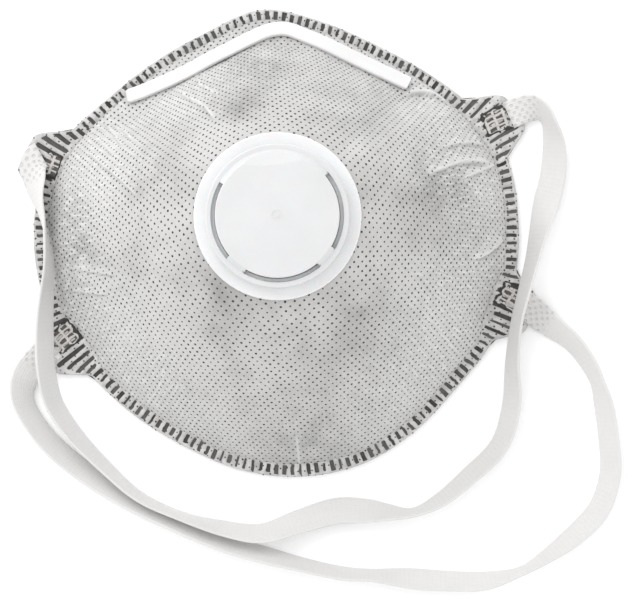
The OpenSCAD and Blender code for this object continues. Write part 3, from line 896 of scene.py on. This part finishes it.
# Dots are dropped on a crest, and shrink over this stretch of the way from the middle
DOT_CREST = 0.45
DOT_NEAR = 30.0
DOT_FAR = 72.0
DOT_VARY = (0.75, 1.2)


def dot_shape():
    """A shallow closed lens with six sides, one unit across."""
    ring = [(0.5 * math.cos(math.radians(a)), 0.5 * math.sin(math.radians(a)), 0) for a in range(0, 360, 60)]
    points = ring + [(0, 0, 0.12), (0, 0, -0.2)]
    faces = [(i, (i + 1) % 6, 6) for i in range(6)] + [((i + 1) % 6, i, 7) for i in range(6)]
    return new_object("dot_shape", points, faces)


def dot_tree():
    """Sets a dot on a surface at every point of a flat lattice, found by the surface's cloth map."""
    tree = bpy.data.node_groups.new("bond_dots", "GeometryNodeTree")
    inputs = {}
    for name, kind in (("Geometry", "NodeSocketGeometry"), ("Surface", "NodeSocketObject"),
                       ("Dot", "NodeSocketObject"), ("Lattice width", "NodeSocketFloat"),
                       ("Points across", "NodeSocketInt"), ("Dot width", "NodeSocketFloat"),
                       ("Edge dot width", "NodeSocketFloat"), ("Seed", "NodeSocketInt"),
                       ("Material", "NodeSocketMaterial")):
        inputs[name] = tree.interface.new_socket(name, in_out="INPUT", socket_type=kind).identifier
    tree.interface.new_socket("Geometry", in_out="OUTPUT", socket_type="NodeSocketGeometry")
    group_in, group_out = tree.nodes.new("NodeGroupInput"), tree.nodes.new("NodeGroupOutput")

    def node(kind, settings=None, links=None):
        made = tree.nodes.new(kind)
        for key, value in (settings or {}).items():
            setattr(made, key, value)
        for key, value in (links or {}).items():
            if isinstance(value, bpy.types.NodeSocket):
                tree.links.new(value, made.inputs[key])
            else:
                made.inputs[key].default_value = value
        return made

    given = group_in.outputs
    surface = node("GeometryNodeObjectInfo", None, {"Object": given["Surface"]}).outputs["Geometry"]
    dot = node("GeometryNodeObjectInfo", None, {"Object": given["Dot"]}).outputs["Geometry"]
    lattice = node("GeometryNodeMeshGrid", None, {
        "Size X": given["Lattice width"], "Size Y": given["Lattice width"],
        "Vertices X": given["Points across"], "Vertices Y": given["Points across"]}).outputs["Mesh"]
    here = node("GeometryNodeInputPosition").outputs[0]
    turned = node("ShaderNodeVectorRotate", {"rotation_type": "Z_AXIS"},
                  {"Vector": here, "Angle": math.radians(45)}).outputs[0]
    shrunk = node("ShaderNodeVectorMath", {"operation": "SCALE"},
                  {0: turned, "Scale": 1 / (CLOTH_W * MM)}).outputs[0]
    spot = node("ShaderNodeVectorMath", {"operation": "ADD"}, {0: shrunk, 1: (0.5, 0.5, 0)}).outputs[0]

    def read(key, kind="FLOAT"):
        return node("GeometryNodeInputNamedAttribute", {"data_type": kind}, {"Name": key}).outputs[0]

    cloth = read("cloth", "FLOAT_VECTOR")

    def sampled(kind, value):
        made = node("GeometryNodeSampleUVSurface", {"data_type": kind})
        tree.links.new(surface, made.inputs[0])
        tree.links.new(value, made.inputs[1])
        tree.links.new(cloth, made.inputs[2])
        tree.links.new(spot, made.inputs[3])
        return made.outputs

    place = sampled("FLOAT_VECTOR", here)
    normal = sampled("FLOAT_VECTOR", node("GeometryNodeInputNormal").outputs[0])
    crest = sampled("FLOAT", read("crest"))[0]
    arc = sampled("FLOAT", read("arc"))[0]

    points = node("GeometryNodeMeshToPoints", None, {"Mesh": lattice}).outputs[0]
    missed = node("FunctionNodeBooleanMath", {"operation": "NOT"}, {0: place[1]}).outputs[0]
    crested = node("FunctionNodeCompare", {"data_type": "FLOAT", "operation": "GREATER_THAN"},
                   {0: crest, 1: DOT_CREST}).outputs[0]
    drop = node("FunctionNodeBooleanMath", {"operation": "OR"}, {0: missed, 1: crested}).outputs[0]
    size = node("ShaderNodeMapRange", None, {
        0: arc, 1: DOT_NEAR, 2: DOT_FAR, 3: given["Dot width"], 4: given["Edge dot width"]}).outputs[0]
    vary = node("FunctionNodeRandomValue", {"data_type": "FLOAT"}, {"Seed": given["Seed"]})
    vary.inputs[2].default_value, vary.inputs[3].default_value = DOT_VARY
    scale = node("ShaderNodeMath", {"operation": "MULTIPLY"}, {0: size, 1: vary.outputs[1]}).outputs[0]
    turn = node("FunctionNodeAlignRotationToVector", {"axis": "Z"}, {"Vector": normal[0]}).outputs[0]
    stored = points
    for key, kind, value in (("drop", "BOOLEAN", drop), ("dot_scale", "FLOAT", scale),
                             ("dot_turn", "QUATERNION", turn), ("dot_place", "FLOAT_VECTOR", place[0])):
        made = node("GeometryNodeStoreNamedAttribute", {"data_type": kind, "domain": "POINT"},
                    {"Geometry": stored, "Name": key})
        tree.links.new(value, made.inputs["Value"])
        stored = made.outputs[0]
    moved = node("GeometryNodeSetPosition", None,
                 {"Geometry": stored, "Position": read("dot_place", "FLOAT_VECTOR")}).outputs[0]
    kept = node("GeometryNodeDeleteGeometry", {"domain": "POINT"},
                {"Geometry": moved, "Selection": read("drop", "BOOLEAN")}).outputs[0]
    dots = node("GeometryNodeInstanceOnPoints", None, {
        "Points": kept, "Instance": dot, "Rotation": read("dot_turn", "QUATERNION"),
        "Scale": read("dot_scale", "FLOAT")}).outputs[0]
    real = node("GeometryNodeRealizeInstances", None, {"Geometry": dots}).outputs[0]
    painted = node("GeometryNodeSetMaterial", None,
                   {"Geometry": real, "Material": given["Material"]}).outputs[0]
    tree.links.new(painted, group_out.inputs[0])
    return tree, inputs


def make_dots(name, surface, tree, inputs, shape, material, width, edge_width, seed):
    """One mesh of all the dots on a surface."""
    host = new_object(name + "_host", [(0, 0, 0)], [])
    mod = host.modifiers.new("dots", "NODES")
    mod.node_group = tree
    settings = {"Surface": surface, "Dot": shape, "Lattice width": (DOT_COUNT - 1) * DOT_SPACING * MM,
                "Points across": DOT_COUNT, "Dot width": width, "Edge dot width": edge_width,
                "Seed": seed, "Material": material}
    for key, value in settings.items():
        mod[inputs[key]] = value
    bpy.context.view_layer.update()
    made = host.evaluated_get(bpy.context.evaluated_depsgraph_get())
    mesh = bpy.data.meshes.new_from_object(made)
    for key in [a.name for a in mesh.attributes if a.name.startswith("dot_") or a.name == "drop"]:
        mesh.attributes.remove(mesh.attributes[key])
    dots = bpy.data.objects.new(name, mesh)
    bpy.context.scene.collection.objects.link(dots)
    bpy.data.objects.remove(host)
    finish_piece(dots, material, "outer_cover")
    return dots


# ---------------------------------------------------------------- nose clip, foam, welds

CLIP_W = 4.2
CLIP_T = 1.2
CLIP_TILT = -30
CORE_W = 3.2
CORE_T = 0.4
CLIP = [
    (-37.6, 42.2, 3.3), (-32.7, 43.4, 4.2), (-26.3, 45.4, 5.3), (-20.2, 47.6, 6.3), (-14.1, 50.3, 6.3),
    (-8.6, 52.5, 6), (-3.6, 54.6, 5.4), (0.2, 56, 4.8), (2.6, 56.5, 4.4), (5, 56.6, 4.15),
    (7.4, 56, 4.1), (11, 54.2, 4.35), (16.1, 51.5, 4.7), (22.4, 47.7, 4.95), (29.5, 43.5, 4.95),
    (37.3, 39, 4.9),
]


def squarish(wave, power):
    """A sine or cosine pushed out towards its ends, which squares a round section."""
    return np.sign(wave) * np.abs(wave) ** power


def make_clip(material):
    """Plastic strip with rounded edges and a faint ridge over its core."""
    route, run = rounded_route(CLIP, 0.8)
    width, face = frames_along(route, np.full(len(run), CLIP_TILT))
    angle = np.linspace(0, 2 * math.pi, 40, endpoint=False)
    power = 0.35
    u = CLIP_W / 2 * squarish(np.cos(angle), power)
    v = CLIP_T / 2 * squarish(np.sin(angle), power)
    v = v * (1 - 0.12 * np.cos(u / CLIP_W * 2 * math.pi * 1.5))
    sections = []
    for i, (p, w, n) in enumerate(zip(route, width, face)):
        end = min(run[i], run[-1] - run[i])
        pinch = 0.86 + 0.14 * smooth(end / 0.8)
        sag = 0.05 * noise(run[i] / 4, 1.5)
        sections.append(p + (u * (pinch + 0.012 * noise(run[i] / 6, 9.5)))[:, None] * w
                        + (v * pinch + sag)[:, None] * n)
    clip = loft("nose_clip_strip", sections)
    finish_piece(clip, material, "nose_clip")
    return clip


def make_core(material):
    route, run = rounded_route(CLIP, 2.0)
    width, face = frames_along(route, np.full(len(run), CLIP_TILT))
    corners = [(CORE_W / 2 * i, CORE_T / 2 * j) for i, j in ((1, -1), (1, 1), (-1, 1), (-1, -1))]
    sections = [np.array([p + a * w + b * n for a, b in corners]) for p, w, n in zip(route, width, face)]
    core = loft("clip_core_strip", sections)
    finish_piece(core, material, "nose_clip_core")
    return core


FOAM_T = 3.2
FOAM_HALF = 40
# Where the strip lies on the way out from the middle, and half its width there
FOAM_RHO = 0.785
FOAM_SPREAD = 0.05


def make_foam(material):
    """Soft strip behind the nose clip, crowned and narrowed at its ends."""
    t = np.linspace(90 - FOAM_HALF, 90 + FOAM_HALF, 70)
    around = np.linspace(0, 2 * math.pi, 36, endpoint=False)
    sections = []
    for angle in t:
        end = smooth(min(angle - t[0], t[-1] - angle) / 3 + 0.15)
        rho = FOAM_RHO + FOAM_SPREAD * squarish(np.cos(around), 0.6) * (0.8 + 0.2 * end)
        rise = 0.5 - 0.5 * squarish(np.sin(around), 0.6)
        depth = WALL_T + 0.15 + (FOAM_T - 0.25) * rise * (0.45 + 0.55 * end)
        depth = depth + 0.12 * rise * noise(angle / 3, rho * 60)
        sections.append(wall_point(rho, np.full(rho.shape, angle), depth))
    foam = loft("nose_foam_pad", sections)
    finish_piece(foam, material, "nose_foam")
    return foam


# Place, turn and length of each welded band end; every one is as wide as WELD_W
WELDS = {
    "weld_upper_left": (-59.3, 26, 155, 4.4),
    "weld_upper_right": (59.6, 27.4, 17, 7),
    "weld_lower_left": (-59.7, -19.8, 215, 7.2),
    "weld_lower_right": (59.5, -19.8, -35, 7.2),
}
WELD_W = 7
WELD_LIFT = 0.03
WELD_RIDGES = 5
WELD_BARS = 2.6


def make_weld(node, place, material, seed):
    """Band end pressed on the tab: a waffle of ridges, ragged where it was melted."""
    x0, y0, turn, length = place
    a = math.radians(turn)
    m, n = 48, 48
    u, v = np.meshgrid(np.linspace(-0.5, 0.5, m), np.linspace(-0.5, 0.5, n), indexing="ij")
    # Bars lie along the band, with a few across it
    wander = 0.03 * noise(v * 7, u * 4 + seed)
    lengthwise = np.cos(2 * math.pi * WELD_RIDGES * (v + wander))
    crosswise = np.cos(2 * math.pi * length / WELD_BARS * (u + 0.02 * noise(u * 6, v * 5 + seed)))
    ridge = smooth((np.maximum(lengthwise, crosswise - 0.25) - 0.1) / 0.5)
    melt = 0.5 + 0.5 * noise(u * 5 + seed * 3, v * 5)
    ridge = ridge * (0.5 + 0.5 * melt)
    burn = smooth((abs(v) - 0.33 - 0.1 * noise(u * 5 + seed, v * 2)) / 0.1)
    burn = np.maximum(burn * 0.8, smooth((-u - 0.34 + 0.12 * noise(v * 6 + seed, u)) / 0.08))
    rim = smooth((0.5 - np.maximum(abs(u), abs(v))) / 0.06)
    height = 0.12 + (0.16 + 0.45 * ridge * (1 - 0.6 * burn)) * rim
    ragged = 1 - 0.04 * noise(u * 14, v * 14 + seed) * (1 - rim)
    px, py = u * length * ragged, v * WELD_W * ragged
    x = x0 + px * math.cos(a) - py * math.sin(a)
    y = y0 + px * math.sin(a) + py * math.cos(a)
    base = FLANGE_T + WELD_LIFT
    top = np.stack([x, y, base + height], -1).reshape(-1, 3)
    low = np.stack([x, y, np.full(x.shape, base)], -1).reshape(-1, 3)
    count = m * n
    faces = grid_faces(m, n, wrap=False) + grid_faces(m, n, start=count, wrap=False, flip=True)
    border = ([i * n for i in range(m)] + [(m - 1) * n + j for j in range(1, n)]
              + [i * n + n - 1 for i in range(m - 2, -1, -1)] + [j for j in range(n - 2, 0, -1)])
    for p, q in zip(border, border[1:] + border[:1]):
        faces.append((q, count + q, count + p, p)[::-1])
    both = lambda values: np.concatenate([values.ravel(), values.ravel()])
    weld = new_object(node + "_waffle", np.concatenate([top, low]), faces, None,
                      {"ridge": both(ridge), "burn": both(burn)})
    finish_piece(weld, material, node)
    return weld


# ---------------------------------------------------------------- flap

FLAP_R = 14.2
FLAP_CHAMFER = 0.05
HINGE_Y = VALVE_Y + 9.4
BEND_HALF = 0.8


def make_flap(material):
    """One thin disc: its root is clamped, and it bends on the hinge line."""
    (_, _, low), (_, _, high) = (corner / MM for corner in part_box("valve_flap"))
    across = 48
    rows = [0.5 * (1 - math.cos(math.pi * k / across)) * 2 * FLAP_R - FLAP_R for k in range(1, across)]
    sections = []
    for y in rows:
        half = math.sqrt(FLAP_R**2 - y * y)
        inner = half - FLAP_CHAMFER
        ring = [(-half, low + FLAP_CHAMFER), (half, low + FLAP_CHAMFER), (half, high - FLAP_CHAMFER),
                (inner, high), (-inner, high), (-half, high - FLAP_CHAMFER)]
        sections.append([(x, VALVE_Y + y, z) for x, z in ring])
    flap = loft("valve_flap_disc", sections, flip=True)
    flap.data.materials.append(material)
    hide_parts("valve_flap", "flap_root")
    z = (low + high) / 2 * MM
    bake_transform(flap, MASK, "flap", start=(0, (HINGE_Y + BEND_HALF) * MM, z),
             end=(0, (HINGE_Y - BEND_HALF) * MM, z))
    return flap


# ---------------------------------------------------------------- the mask

set_camera()
set_light()
make_floor(paper_floor())

elastic = elastic_cloth()
make_headband("headband_upper_elastic", UPPER, elastic)
make_headband("headband_lower_elastic", LOWER, elastic)

cover, cover_form = make_cover(cover_cloth())
border, border_form = make_border(border_cloth())
make_wall("carbon_felt", "carbon_layer", felt("carbon_felt_cloth", 48, 30, 600, 0.0004))
make_wall("filter_web", "filter_layer", felt("filter_web_cloth", 236, 222, 900, 0.0002))
make_wall("shell_felt", "support_shell", felt("shell_felt_cloth", 226, 210, 500, 0.0004))
make_wall("lining_cloth", "inner_lining", felt("lining_nonwoven", 236, 224, 700, 0.0003), 200, 80)

tree, tree_inputs = dot_tree()
shape = dot_shape()
cover_dot, border_dot = dot_cloth("bond_dot_cloth", 60, 96), dot_cloth("border_dot_cloth", 56, 84)
cover_dots = make_dots("cover_dots", cover_form, tree, tree_inputs, shape, cover_dot, 0.62, 0.56, 3)
border_dots = make_dots("border_dots", border_form, tree, tree_inputs, shape, border_dot, 0.5, 0.5, 5)
for form in (cover_form, border_form, shape):
    bpy.data.objects.remove(form)

make_clip(moulded_plastic("clip_polythene", 250, 0.42, 0.08))
make_core(bare_metal())
make_foam(felt("soft_foam", 200, 176, 1400, 0.0006))
weld_material = weld_cloth()
for seed, (node, place) in enumerate(WELDS.items()):
    make_weld(node, place, weld_material, seed + 2.5)

# Seat and cap are one white plastic: the cap's darker grey is painted shade, standing in for the shading
# across its disc
for node, material in (("valve_seat", moulded_plastic("seat_moulding", 254, 0.36, warm=-1)),
                       ("valve_cover", moulded_plastic("cap_moulding_painted_shade", 238, 0.36, warm=-1))):
    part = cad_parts[node]
    part.data.materials.clear()
    part.data.materials.append(material)
make_flap(silicone())
